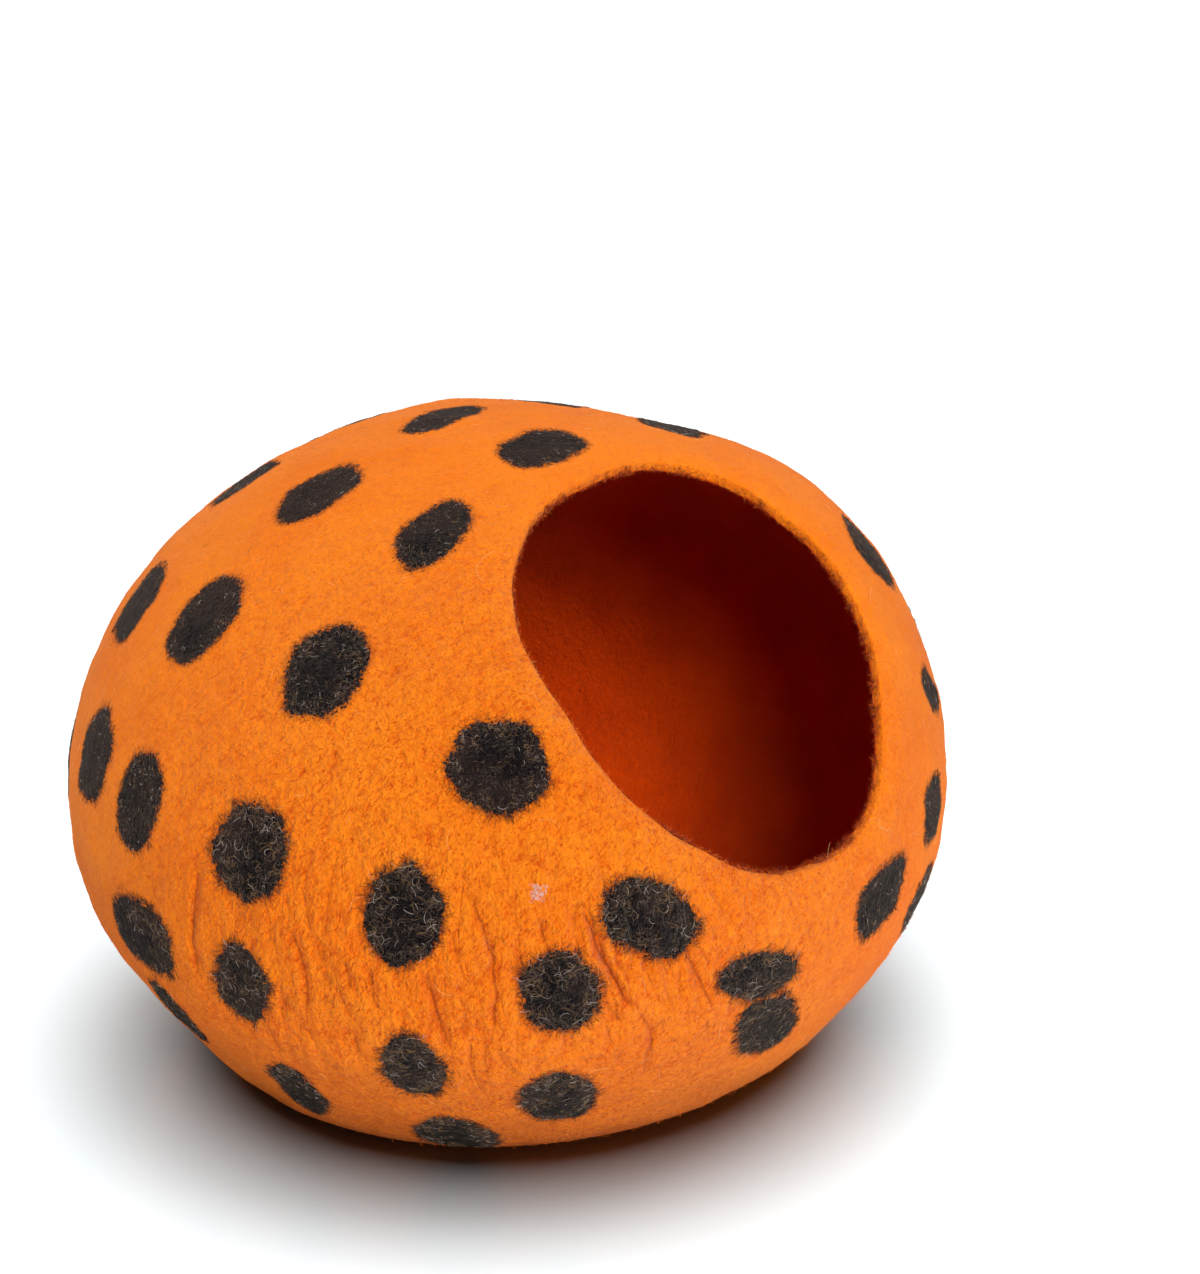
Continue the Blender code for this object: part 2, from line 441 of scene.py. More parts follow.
def faceMiddles(mesh):
    found = np.empty(len(mesh.polygons) * 3)
    mesh.polygons.foreach_get("center", found)
    return found.reshape(-1, 3)


def setPoints(mesh, points):
    mesh.vertices.foreach_set("co", points.ravel())
    mesh.update()


def writeValues(mesh, name, values):
    layer = mesh.attributes.new(name, "FLOAT", "POINT")
    layer.data.foreach_set("value", values.astype(np.float32))


def readValues(mesh, name):
    found = np.empty(len(mesh.vertices), np.float32)
    mesh.attributes[name].data.foreach_get("value", found)
    return found


def pickFaces(piece, chosen):
    # leaves edit mode with only the chosen faces selected, and goes back in
    bpy.ops.object.mode_set(mode="EDIT")
    bpy.ops.mesh.select_mode(type="FACE")
    bpy.ops.mesh.select_all(action="DESELECT")
    bpy.ops.object.mode_set(mode="OBJECT")
    piece.data.polygons.foreach_set("select", chosen)
    bpy.ops.object.mode_set(mode="EDIT")


def cutFiner(piece, chosen, cuts):
    pickFaces(piece, chosen)
    bpy.ops.mesh.subdivide(number_cuts=cuts, ngon=False)
    bpy.ops.object.mode_set(mode="OBJECT")


def makeCage(row, make=shellMake):
    # a cube, open at +Z
    bpy.ops.object.select_all(action="DESELECT")
    bpy.ops.mesh.primitive_cube_add(size=2)
    cage = bpy.context.object
    cage.name = cage.data.name = "felt_cave"
    pickFaces(cage, faceMiddles(cage.data)[:, 2] > 0.9)
    bpy.ops.mesh.delete(type="FACE")
    bpy.ops.mesh.select_all(action="SELECT")
    bpy.ops.mesh.subdivide(number_cuts=make["gridCuts"])
    bpy.ops.object.mode_set(mode="OBJECT")
    points = pointsOf(cage.data)
    first = np.abs(points[:, 2] - (1 - row)) < row / 4
    points[first, 2] -= row * make["rimRow"]
    setPoints(cage.data, points)
    return cage


def shapeSkin(skin, rows, inside, make=shellMake):
    # from the cage to the felt's outer or inner face, with what the materials need
    skinPoints = eggPoints(feltWays(pointsOf(skin.data))) + bodyShift
    setPoints(skin.data, skinPoints)
    values = reliefValues(skinPoints)
    values["relief"] *= eased(*make["relievedFrom"], skinPoints[:, 2])
    normals = normalsOf(skin.data)
    moved = skinPoints + normals * values["relief"][:, None] / 1000
    setPoints(skin.data, moved - normals * caveForm["wall"] * inside)
    values["spotDistance"] = spotDistances(skinPoints, rows)
    values["inside"] = np.full(len(skinPoints), inside)
    for name, found in values.items():
        writeValues(skin.data, name, found)


def joinSkins(outer, inner):
    bpy.ops.object.select_all(action="DESELECT")
    inner.select_set(True)
    bpy.context.view_layer.objects.active = inner
    bpy.ops.object.mode_set(mode="EDIT")
    bpy.ops.mesh.select_all(action="SELECT")
    bpy.ops.mesh.flip_normals()
    bpy.ops.object.mode_set(mode="OBJECT")

    outer.select_set(True)
    bpy.context.view_layer.objects.active = outer
    bpy.ops.object.join()
    bpy.ops.object.mode_set(mode="EDIT")
    bpy.ops.mesh.select_mode(type="EDGE")
    bpy.ops.mesh.select_all(action="DESELECT")
    bpy.ops.mesh.select_non_manifold()
    bpy.ops.mesh.bridge_edge_loops()
    bpy.ops.object.mode_set(mode="OBJECT")


def roundRim(piece, make=shellMake):
    rim = piece.modifiers.new("rim", "BEVEL")
    rim.width = make["rimRound"]
    rim.segments = make["rimSteps"]
    rim.limit_method = "ANGLE"
    rim.angle_limit = math.radians(make["rimCorner"])
    bpy.ops.object.modifier_apply(modifier="rim")


def rimPlaces(points, form=caveForm):
    # metres from the mouth's edge, share of the wall's depth, and the way outward
    middle = points - bodyShift - (0, 0, form["waist"])
    middle[:, 1] -= form["leanBack"] * middle[:, 2]
    ways = normalised(middle)
    axis = wayTo(0, form["mouthPitch"])
    upward = np.cross(axis, (1, 0, 0))
    turn = np.arctan2(ways @ upward, ways[:, 0])
    fromEdge = np.arccos(np.clip(ways @ axis, -1, 1)) - mouthReach(turn)
    size = np.linalg.norm(middle, axis=1)
    whole = eggPoints(ways) - (0, 0, form["waist"])
    whole[:, 1] -= form["leanBack"] * whole[:, 2]
    return fromEdge * size, (np.linalg.norm(whole, axis=1) - size) / form["wall"], ways


def rollRim(piece, make=shellMake):
    reach, most = make["rimRoll"]
    far, depth, ways = rimPlaces(faceMiddles(piece.data))
    cutFiner(piece, (far > make["rimRound"]) & (far < reach) & (depth < 0.4), make["rollCuts"])
    points = pointsOf(piece.data)
    far, depth, ways = rimPlaces(points)
    amount = most * np.clip(1 - far / reach, 0, 1) ** 2 * np.clip(1 - depth, 0, 1)
    setPoints(piece.data, points - ways * amount[:, None])


def makeShell(rows, make=shellMake):
    row = 2 / (make["gridCuts"] + 1)
    outer = makeCage(row)
    inner = outer.copy()
    inner.data = outer.data.copy()
    scene.collection.objects.link(inner)

    rimRow = 1 - row * (1 + make["rimRow"])
    cutFiner(outer, faceMiddles(outer.data)[:, 2] < rimRow, make["outerCuts"])
    middles = faceMiddles(outer.data)
    wrinkled = wrinkledShare(eggPoints(feltWays(middles)) + bodyShift)
    cutFiner(outer, (wrinkled > make["foldsFrom"]) & (middles[:, 2] < rimRow), make["foldCuts"])

    shapeSkin(outer, rows, 0.0)
    shapeSkin(inner, rows, 1.0)
    joinSkins(outer, inner)
    roundRim(outer)
    rollRim(outer)
    bpy.ops.object.shade_smooth()
    print("shell:", len(outer.data.polygons), "faces")
    return outer


spots = spotRows()
feltCave = makeShell(spots)


# Loose wool. Each strand is a thin three-sided spindle that starts just under the skin.
def strandRoots(piece, count, seed, weight):
    # random places on the skin, with their outward directions
    draw = np.random.default_rng(seed)
    mesh = piece.data
    mesh.calc_loop_triangles()
    corners = np.empty(len(mesh.loop_triangles) * 3, np.int32)
    mesh.loop_triangles.foreach_get("vertices", corners)
    corners = corners.reshape(-1, 3)
    points, normals = pointsOf(mesh), normalsOf(mesh)
    apart, inside = (readValues(mesh, name)[corners].mean(1) for name in ("spotDistance", "inside"))
    a, b, c = (points[corners[:, k]] for k in range(3))
    area = np.linalg.norm(np.cross(b - a, c - a), axis=1) / 2
    area *= weight(apart, inside, points[corners].mean(1))
    chosen = corners[draw.choice(len(corners), count, p=area / area.sum())]
    u, v = draw.random(count), draw.random(count)
    over = u + v > 1
    u[over], v[over] = 1 - u[over], 1 - v[over]
    shares = np.stack([1 - u - v, u, v], 1)[:, :, None]
    return (points[chosen] * shares).sum(1), normalised((normals[chosen] * shares).sum(1))


def awayFromSpots(places, outward):
    # along the skin, the way in which the distance to the spots' outlines grows
    step = 0.0008
    side = normalised(np.cross(outward, (0.31, 0.17, 0.93)))
    other = np.cross(outward, side)
    here = spotDistances(places, spots)
    return normalised(sum((spotDistances(places + way * step, spots) - here)[:, None] * way
                          for way in (side, other)))


def strandPaths(roots, outward, make, draw, heading):
    # the points along each strand, the ways between them, and which way its rings face
    count, steps = len(roots), make["steps"]
    least, most = make["length"]
    length = (least + (most - least) * draw.random(count) ** 1.6) / 1000
    start, end = (np.radians(draw.uniform(*make[key], count)) for key in ("riseRoot", "riseTip"))
    curl = np.radians(draw.uniform(*make["curl"], count)) * draw.choice((-1, 1), count)
    radius = draw.uniform(*make["radius"], count) / 1000
    right = normalised(np.cross(outward, draw.normal(size=(count, 3))))
    if heading is not None:
        right = normalised(right * make["stray"] + heading)
    ahead = np.cross(outward, right)
    path = [roots - outward * make["sunk"] / 1000]
    ways = []
    for step in range(steps):
        share = (step + 0.5) / steps
        turn, rise = curl * (share - 0.2), start + (end - start) * share
        level = right * np.cos(turn)[:, None] + ahead * np.sin(turn)[:, None]
        way = level * np.cos(rise)[:, None] + outward * np.sin(rise)[:, None]
        ways.append(way)
        path.append(path[-1] + way * (length / steps)[:, None])
    return path, ways, outward + 0.01 * ahead, radius[:, None]


def spindlePoints(path, ways, facing, radius):
    rings = []
    for step in range(1, len(ways)):
        way = normalised(ways[step - 1] + ways[step])
        side = normalised(np.cross(way, facing))
        other = np.cross(way, side)
        for corner in range(3):
            angle = math.tau * corner / 3
            rings.append(path[step] + radius * (side * math.cos(angle) + other * math.sin(angle)))
    return np.stack([path[0], *rings, path[-1]], 1)


def spindleFaces(steps):
    tip = 3 * (steps - 1) + 1
    faces = [(0, 1 + (k + 1) % 3, 1 + k) for k in range(3)]
    for ring in range(steps - 2):
        here, there = 1 + 3 * ring, 4 + 3 * ring
        for k in range(3):
            after = (k + 1) % 3
            faces += [(here + k, here + after, there + after), (here + k, there + after, there + k)]
    return faces + [(tip, tip - 3 + k, tip - 3 + (k + 1) % 3) for k in range(3)]


def woolStrands(name, roots, outward, make, shades, seed, heading=None):
    draw = np.random.default_rng(seed)
    count = len(roots)
    points = spindlePoints(*strandPaths(roots, outward, make, draw, heading))
    faces = spindleFaces(make["steps"])
    each = points.shape[1]
    corners = (np.array(faces)[None] + (np.arange(count) * each)[:, None, None]).ravel()
    mesh = bpy.data.meshes.new(name)
    mesh.vertices.add(count * each)
    aboveFloor = np.maximum(points.reshape(-1, 3), (-9, -9, 0.0002))
    mesh.vertices.foreach_set("co", aboveFloor.ravel())
    mesh.loops.add(len(corners))
    mesh.loops.foreach_set("vertex_index", corners)
    mesh.polygons.add(len(corners) // 3)
    mesh.polygons.foreach_set("loop_start", np.arange(0, len(corners), 3))
    mesh.polygons.foreach_set("loop_total", np.full(len(corners) // 3, 3))
    shade = draw.choice(len(shades), count, p=np.array([share for _, share in shades]))
    mesh.polygons.foreach_set("material_index", np.repeat(shade, len(faces)))
    mesh.polygons.foreach_set("use_smooth", np.ones(len(corners) // 3, bool))
    mesh.update(calc_edges=True)
    mesh.validate()
    for material, _ in shades:
        mesh.materials.append(material)
    piece = bpy.data.objects.new(name, mesh)
    scene.collection.objects.link(piece)
    print(name + ":", count, "strands")
    return piece


# Shader maths as expressions
class Wire:
    def __init__(self, finish, socket):
        self.finish, self.socket = finish, socket

    def maths(self, operation, *values):
        return self.finish.add("ShaderNodeMath", {"operation": operation}, dict(enumerate(values)))

    def __add__(self, other):
        return self.maths("ADD", self, other)

    def __radd__(self, other):
        return self.maths("ADD", other, self)

    def __sub__(self, other):
        return self.maths("SUBTRACT", self, other)

    def __rsub__(self, other):
        return self.maths("SUBTRACT", other, self)

    def __mul__(self, other):
        return self.maths("MULTIPLY", self, other)

    def __rmul__(self, other):
        return self.maths("MULTIPLY", other, self)

    def __abs__(self):
        return self.maths("ABSOLUTE", self)

    def within(self, low, high):
        return self.maths("MINIMUM", self.maths("MAXIMUM", self, low), high)

    def eased(self, start, end):
        # 0 at start, 1 at end, also where end is the lower one
        return self.finish.add("ShaderNodeMapRange", {"interpolation_type": "SMOOTHSTEP"},
                               {0: self, 1: start, 2: end, 3: 0.0, 4: 1.0})


class Finish:
    def __init__(self, name):
        self.material = bpy.data.materials.new(name)
        self.material.use_nodes = True
        self.tree = self.material.node_tree
        self.shader = self.tree.nodes["Principled BSDF"]

    def put(self, socket, value):
        if isinstance(value, Wire):
            self.tree.links.new(value.socket, socket)
        else:
            socket.default_value = value

    def add(self, kind, settings=None, inputs=None, out=0):
        made = self.tree.nodes.new(kind)
        for name, value in (settings or {}).items():
            setattr(made, name, value)
        for key, value in (inputs or {}).items():
            self.put(made.inputs[key], value)
        return Wire(self, made.outputs[out])

    def set(self, **values):
        for name, value in values.items():
            self.put(self.shader.inputs[name.replace("_", " ")], value)

    def where(self):
        return self.add("ShaderNodeTexCoord", out="Object")

    def value(self, name):
        return self.add("ShaderNodeAttribute", {"attribute_name": name}, out="Fac")

    def shifted(self, place, offset):
        return self.add("ShaderNodeMapping", None, {"Vector": place, "Location": offset})

    def combed(self, place, lean, longer):
        # so many times longer along a leaning direction
        return self.add("ShaderNodeMapping", {"vector_type": "TEXTURE"},
                        {"Vector": place, "Rotation": lean, "Scale": (1, 1, longer)})

    def noise(self, place, spacing, detail=2.0, rough=0.5, distortion=0.0):
        sizes = {"Vector": place, "Scale": 1 / spacing, "Detail": detail, "Roughness": rough,
                 "Distortion": distortion}
        return self.add("ShaderNodeTexNoise", None, sizes)

    def strands(self, place, spacing, thin, distortion=1.0):
        # 1 along fine wandering lines, where a soft noise passes its middle value
        return abs(self.noise(place, spacing, 1.0, 0.5, distortion) - 0.5).eased(thin, 0.0)

    def blend(self, share, first, second):
        colours = [opaque(colour) if isinstance(colour, tuple) else colour for colour in (first, second)]
        return self.add("ShaderNodeMix", {"data_type": "RGBA"}, {0: share, 6: colours[0], 7: colours[1]}, 2)

    def bump(self, heights):
        # heights in millimetres
        return self.add("ShaderNodeBump", None, {"Height": heights, "Distance": 0.001})


def opaque(colour):
    return (*colour, 1.0)


feltFinish = {
    "orange": (0.80, 0.153, 0.0038),
    "amber": (0.86, 0.198, 0.0066),      # large lighter patches, and more of it towards the crown as painted light
    "darkRedAndPitShade": (0.60, 0.068, 0.0010),       # painted shade in pits, valleys and beside creases, and the wool's dark strokes and mottle
    "ridgeHighlightAndPaleStrokes": (0.92, 0.232, 0.0085),       # painted highlight on ridges, and the pale fibre strokes
    # painted shade in the creases and the folds' valleys
    "crease": (0.26, 0.026, 0.0008),
    "peach": (0.92, 0.31, 0.045),        # pale fibres on the face
    # painted shade: the inner face is the same orange wool, coloured a deeper and darker red for the shade
    # inside the cave
    "inside": (0.77, 0.066, 0.0010),
    "insideDarkerShade": (0.60, 0.044, 0.0006),
    "spot": (0.0034, 0.0024, 0.0034),
    "spotWarm": (0.0180, 0.0095, 0.0085),
    "kemp": (0.30, 0.20, 0.145),         # pale hairs in the dark wool
    "fringe": (0.16, 0.018, 0.001),      # where dark and orange wool mix
    "roughness": 0.92,
    "gloss": 0.04,
    "sheen": 0.10,
    "sheenRoughness": 0.28,
    "sheenTint": (1.0, 0.84, 0.70),
    # of each noise: metres apart, detail, roughness, distortion
    "patches": (0.055, 2.0),
    "mottle": (0.0075, 2.0, 0.6, 0.6),
    "pebble": (0.0038, 2.0, 0.6, 0.9),
    "ripple": (0.0030, 2.0, 0.6, 0.9),   # along the folds, in place of the pebbles
    "grain": (0.0013, 3.0, 0.7, 0.8),
    "dashes": (0.0030, 1.0),             # where the dark hairs show
    "creased": (0.008, 1.0),             # where the fold valleys are darkened with painted shade
    "fray": (0.0026, 2.0, 0.6, 1.5),     # of the spots' outlines
    "tone": (0.045, 1.0),                # of one spot against another
    "warmth": (0.014, 2.0),              # of the browner dark wool
    "clumps": (0.006, 2.0, 0.6),         # of the pale hairs in it
    # lean, how much longer than wide, and their noise
    "darkStrokes": ((0.4, 0.6, 0.0), 3.2, (0.0013, 1.0, 0.5, 1.2)),
    "paleStrokes": ((-0.5, 0.3, 0.8), 3.4, (0.0012, 1.0, 0.5, 1.3)),
    # of each sort of hair: metres apart, width, distortion
    "darkHairs": (0.0030, 0.030, 2.2),
    "paleHairs": (0.0036, 0.028, 2.6),
    "fineHairs": (0.0019, 0.045, 1.8),
    "kempHairs": ((0.0030, 0.020, 2.0), (0.0036, 0.016, 2.4)),
    "patternShift": (0.37, 0.11, 0.53),  # keeps one noise from following another
    "foldLength": 0.33,                  # the ripples are three times as long as wide
}


def feltPatterns(felt, look=feltFinish):
    # the skin's own values, and the noises that its colours and heights share
    skin = SimpleNamespace(**{name: felt.value(name) for name in (
        "spotDistance", "inside", "relief", "wrinkled", "shaggy", "valley", "creaseSide", "creaseShare")})
    skin.here = felt.where()
    skin.moved = felt.shifted(skin.here, look["patternShift"])
    skin.outside = 1 - skin.inside
    skin.front = 0.3 + skin.shaggy * 0.7
    skin.patches = felt.noise(skin.here, *look["patches"])
    skin.mottle = felt.noise(skin.here, *look["mottle"])
    skin.grain = felt.noise(skin.moved, *look["grain"])
    skin.dashes = felt.noise(skin.here, *look["dashes"]).eased(0.50, 0.60)

    folds = felt.add("ShaderNodeCombineXYZ", None, {
        "X": felt.value("foldAcross"), "Y": felt.value("foldAlong") * look["foldLength"], "Z": 0.0})
    pebble = felt.noise(skin.moved, *look["pebble"])
    ripple = felt.noise(folds, *look["ripple"])
    skin.texture = pebble + (ripple - pebble) * skin.wrinkled * 0.75

    (darkLean, darkLong, dark), (paleLean, paleLong, pale) = look["darkStrokes"], look["paleStrokes"]
    skin.darkStrokes = felt.noise(felt.combed(skin.here, darkLean, darkLong), *dark)
    skin.paleStrokes = felt.noise(felt.combed(skin.moved, paleLean, paleLong), *pale)
    skin.darkHairs = felt.strands(skin.here, *look["darkHairs"])
    skin.paleHairs = felt.strands(skin.moved, *look["paleHairs"])
    firstKemp, otherKemp = look["kempHairs"]
    skin.kemp = (felt.strands(skin.here, *firstKemp) + felt.strands(skin.moved, *otherKemp)).within(0, 1)

    # foldLines and creaseLines darken the colour as painted shade in the valleys, and cut grooves into the
    # heights
    creased = felt.noise(skin.here, *look["creased"]).eased(0.42, 0.62)
    skin.foldLines = abs(skin.valley).eased(0.11, 0.0) * creased * skin.wrinkled * skin.outside
    skin.creaseLines = abs(skin.creaseSide).eased(1.05, 0.10) * skin.creaseShare * skin.outside
    skin.creaseSides = abs(skin.creaseSide).eased(3.8, 0.3) * skin.creaseShare * skin.outside
    return skin


def orangeWool(felt, skin, look=feltFinish):
    # painted light: the amber share grows towards the crown, making the top lighter and yellower where the
    # light falls
    paintedCrownLight = felt.add("ShaderNodeSeparateXYZ", None, {"Vector": skin.here}, "Z").eased(0.13, 0.26)
    amber = (skin.patches.eased(0.35, 0.7) + paintedCrownLight * 0.45).within(0, 1)
    orange = felt.blend(amber, look["orange"], look["amber"])
    # painted highlight on the ridges of the texture, together with the wool's pale strokes
    ridgeHighlightAndPaleStrokes = (skin.texture.eased(0.50, 0.68) * (0.12 + skin.shaggy * 0.34 + skin.wrinkled * 0.25)
            + skin.paleStrokes.eased(0.54, 0.66) * skin.front * 0.80).within(0, 0.95)
    orange = felt.blend(ridgeHighlightAndPaleStrokes, orange, look["ridgeHighlightAndPaleStrokes"])
    # painted shade in the pits, the relief's valleys and beside the creases, together with the wool's own
    # dark hairs, strokes and mottle
    pitShadeAndDarkFibres = (skin.texture.eased(0.50, 0.30) * (0.06 + skin.shaggy * 0.34 + skin.wrinkled * 0.22)
            + skin.mottle.eased(0.46, 0.3) * (0.10 + skin.shaggy * 0.20)
            + skin.darkHairs * skin.dashes * skin.front * 0.38
            + skin.darkStrokes.eased(0.47, 0.30) * skin.front * 0.70
            + skin.creaseSides * 0.40 + skin.relief.eased(-0.3, -1.6) * 0.25).within(0, 1)
    orange = felt.blend(pitShadeAndDarkFibres, orange, look["darkRedAndPitShade"])
    # painted shade along the fold valleys and the creases
    creased = (skin.foldLines * 0.32 + skin.creaseLines * 0.75).within(0, 0.9)
    orange = felt.blend(creased, orange, look["crease"])
    fineHairs = felt.strands(skin.here, *look["fineHairs"])
    pale = (skin.paleHairs * (1 - skin.dashes) * 0.32 + fineHairs * skin.front * 0.10).within(0, 0.8)
    orange = felt.blend(pale, orange, look["peach"])
    # painted shade: the inner face gets a darker, deeper red copy of the orange wool
    shadedLining = felt.blend(skin.patches.eased(0.35, 0.65), look["inside"], look["insideDarkerShade"])
    lined = (skin.inside + (skin.grain - 0.5) * 0.5 + (skin.mottle - 0.5) * 0.5).eased(0.62, 0.92)
    return felt.blend(lined, orange, shadedLining)


def spottedWool(felt, skin, orange, look=feltFinish):
    # the dark spots, with frayed outlines, on the orange wool
    apart = skin.spotDistance
    frayed = apart + (skin.grain - 0.5) * 7.0 + (felt.noise(skin.here, *look["fray"]) - 0.5) * 8.0
    skin.spot = frayed.eased(0.45, -0.45) * skin.outside
    around = (1 - skin.spot) * skin.outside
    fringe = frayed.eased(3.4, 0.0) * around
    flecks = (skin.grain - 0.5 - apart * 0.018).eased(0.02, 0.09) * apart.eased(7.0, 2.0) * around
    fringed = felt.blend(fringe * 0.40, orange, look["fringe"])
    fringed = felt.blend(flecks * 0.55, fringed, look["spotWarm"])
    warm = felt.noise(skin.moved, *look["warmth"]) + felt.noise(skin.here, *look["tone"])
    wool = felt.blend((warm - 0.3 - skin.shaggy * 0.3).eased(0.42, 0.68), look["spot"], look["spotWarm"])
    clumps = (felt.noise(skin.here, *look["clumps"]) + apart.eased(-9.0, -2.0) * 0.16).eased(0.44, 0.66)
    wool = felt.blend(skin.kemp * clumps * (0.15 + skin.shaggy * 0.4), wool, look["kemp"])
    return felt.blend(skin.spot, fringed, wool)


def feltHeights(skin):
    # in millimetres
    return (skin.mottle * (1.0 + skin.shaggy * 1.3)
            + skin.texture * (0.8 + skin.shaggy * 1.7 + skin.wrinkled * 1.0)
            - skin.foldLines * 0.45 - skin.creaseLines * 0.4 - skin.creaseSides * 1.1
            - skin.darkHairs * 0.12 + skin.paleHairs * 0.15
            + (skin.darkStrokes + skin.paleStrokes) * skin.front * 1.1
            + skin.grain * 0.25 + skin.spot * (skin.kemp * 0.35 - 0.15))


def feltMaterial(look=feltFinish):
    felt = Finish("orange_felt")
    skin = feltPatterns(felt)
    colour = spottedWool(felt, skin, orangeWool(felt, skin))
    felt.set(Base_Color=colour, Roughness=look["roughness"], Normal=felt.bump(feltHeights(skin)),
             Specular_IOR_Level=look["gloss"], Sheen_Weight=look["sheen"],
             Sheen_Roughness=look["sheenRoughness"], Sheen_Tint=opaque(look["sheenTint"]))
    return felt.material


def woolMaterial(name, colour):
    wool = Finish(name)
    wool.set(Base_Color=opaque(colour), Roughness=0.85, Specular_IOR_Level=0.15, Sheen_Weight=0.05)
    return wool.material


feltCave.data.materials.clear()
feltCave.data.materials.append(feltMaterial())
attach(feltCave, "root")
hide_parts("felt_shell")


# Each sort of loose wool has a dictionary, and a weight that says where on the skin it stands.
# Lengths and radii are in mm, rises in degrees off the skin, and each colour has its share.
extras = []


def layWool(make, weight, heading=None):
    shades = [(woolMaterial(name, colour), share) for name, colour, share in make["colours"]]
    for part, name in enumerate(make["pieces"]):
        seed = make["seed"] + part
        places, outward = strandRoots(feltCave, make["count"], seed, weight)
        ways = None if heading is None else heading(places, outward)
        piece = woolStrands(name, places, outward, make, shades, seed, ways)
        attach(piece, "root")
        extras.append(piece)


orangeFuzz = {
    "pieces": ("orange_fuzz",),
    "slot": "orange_felt",
    "count": 16000,
    "steps": 3,
    "length": (1.2, 3.6),
    "radius": (0.055, 0.095),
    "riseRoot": (12, 70),
    "riseTip": (-25, 45),
    "curl": (10, 100),
    "sunk": 0.25,
    "colours": (
        ("fuzz_orange", (0.82, 0.15, 0.003), 0.46),
        ("fuzz_amber", (0.90, 0.21, 0.008), 0.36),
        ("fuzz_peach", (0.92, 0.35, 0.070), 0.06),
        ("fuzz_rust", (0.62, 0.075, 0.001), 0.12),
    ),
    "seed": 21,
}


def bareOrange(apart, inside, middles):
    rim = 1 + 5 * (inside > 0.02)
    return (inside < 0.6) * rim * eased(-0.5, 1.0, apart) * eased(0.0, 0.01, middles[:, 2])


layWool(orangeFuzz, bareOrange)

spotEdge = {
    "pieces": ("spot_edge_wool",),
    "slot": "dark_wool",
    "count": 12000,
    "steps": 3,
    "length": (1.5, 5.6),
    "radius": (0.070, 0.115),
    "riseRoot": (-2, 22),
    "riseTip": (-12, 18),
    "curl": (5, 90),
    "stray": 0.75,               # how far a strand strays from pointing away from its spot
    "sunk": 0.05,
    "colours": (
        ("dark_black", (0.007, 0.006, 0.006), 0.56),
        ("dark_brown", (0.022, 0.012, 0.007), 0.30),
        ("dark_rust", (0.10, 0.014, 0.002), 0.14),
    ),
    "seed": 31,
}


def spotBorder(apart, inside, middles):
    # along the spots' outlines, in tufts
    share = (inside < 0.05) * np.exp(-0.5 * ((apart + 0.6) / 0.9) ** 2)
    near = share > 0.01
    share[near] *= 0.3 + 2.2 * np.maximum(wander(middles[near], 0.0035, 5), 0)
    return share


layWool(spotEdge, spotBorder, awayFromSpots)

rimEdge = {
    "pieces": ("rim_wool",),
    "slot": "orange_felt",
    "count": 5200,
    "steps": 3,
    "length": (1.4, 5.0),
    "radius": (0.050, 0.090),
    "riseRoot": (10, 60),
    "riseTip": (-20, 60),
    "curl": (10, 120),
    "sunk": 0.2,
    # darker copies of the orange wool: painted shade, to match the shaded inside
    "colours": (
        ("rim_shade_dark", (0.12, 0.011, 0.0010), 0.35),
        ("rim_shade_red", (0.34, 0.034, 0.0010), 0.35),
        ("rim_orange", (0.70, 0.110, 0.0015), 0.30),
    ),
    "seed": 36,
}


def rimInside(apart, inside, middles):
    # the wool frays from the orange into the shaded inside, in tufts; their darker colours are painted
    # shade
    share = (inside > 0.6) * (inside < 0.9995) * 1.0
    near = share > 0
    share[near] *= 0.2 + 2.2 * np.maximum(wander(middles[near], 0.005, 6), 0)
    return share


layWool(rimEdge, rimInside)

paleKemp = {
    "pieces": ("pale_kemp_1", "pale_kemp_2"),
    "slot": "pale_wool",
    "count": 6600,               # in each of the two
    "steps": 5,
    "length": (2.0, 6.4),
    "radius": (0.040, 0.080),
    "riseRoot": (5, 28),
    "riseTip": (-24, 5),
    "curl": (20, 190),
    "sunk": 0.05,
    "colours": (
        ("kemp_tan", (0.22, 0.130, 0.082), 0.30),
        ("kemp_brown", (0.060, 0.032, 0.024), 0.44),
        ("kemp_gold", (0.31, 0.170, 0.058), 0.18),
        ("kemp_pale", (0.60, 0.48, 0.42), 0.08),
    ),
    "seed": 41,
}
spotCentres = np.array([feltPoint(bearing, rise) for bearing, rise, *_ in spots])


def spotWool(apart, inside, middles):
    # more of it shows towards a spot's upper edge, and on the belly
    share = (inside < 0.05) * eased(0.6, -0.8, apart) * (0.35 + np.exp(-0.5 * ((apart + 4) / 3.5) ** 2))
    near = share > 0.01
    nearest = np.linalg.norm(middles[near][:, None] - spotCentres[None], axis=2).argmin(1)
    above = (middles[near] - spotCentres[nearest])[:, 2] / 0.016
    tufts = 0.6 + 0.9 * np.maximum(wander(middles[near], 0.007, 12), -0.4)
    share[near] *= (0.7 + 0.7 * eased(-1, 1, above)) * tufts * (0.35 + shaggyShare(middles[near]))
    return share


layWool(paleKemp, spotWool)

lint = {                         # a fluff of pale wool above the wrinkled belly
    "pieces": ("lint",),
    "slot": "pale_wool",
    "place": (-34.8, 10.6),      # bearing and rise
    "spread": 0.0046,            # metres
    "count": 110,
    "steps": 5,
    "length": (1.4, 4.4),
    "radius": (0.05, 0.08),
    "riseRoot": (10, 40),
    "riseTip": (-20, 10),
    "curl": (120, 460),
    "sunk": 0.05,
    "colours": (
        ("lint_pink", (0.80, 0.46, 0.38), 0.55),
        ("lint_white", (0.86, 0.72, 0.70), 0.45),
    ),
    "seed": 51,
}


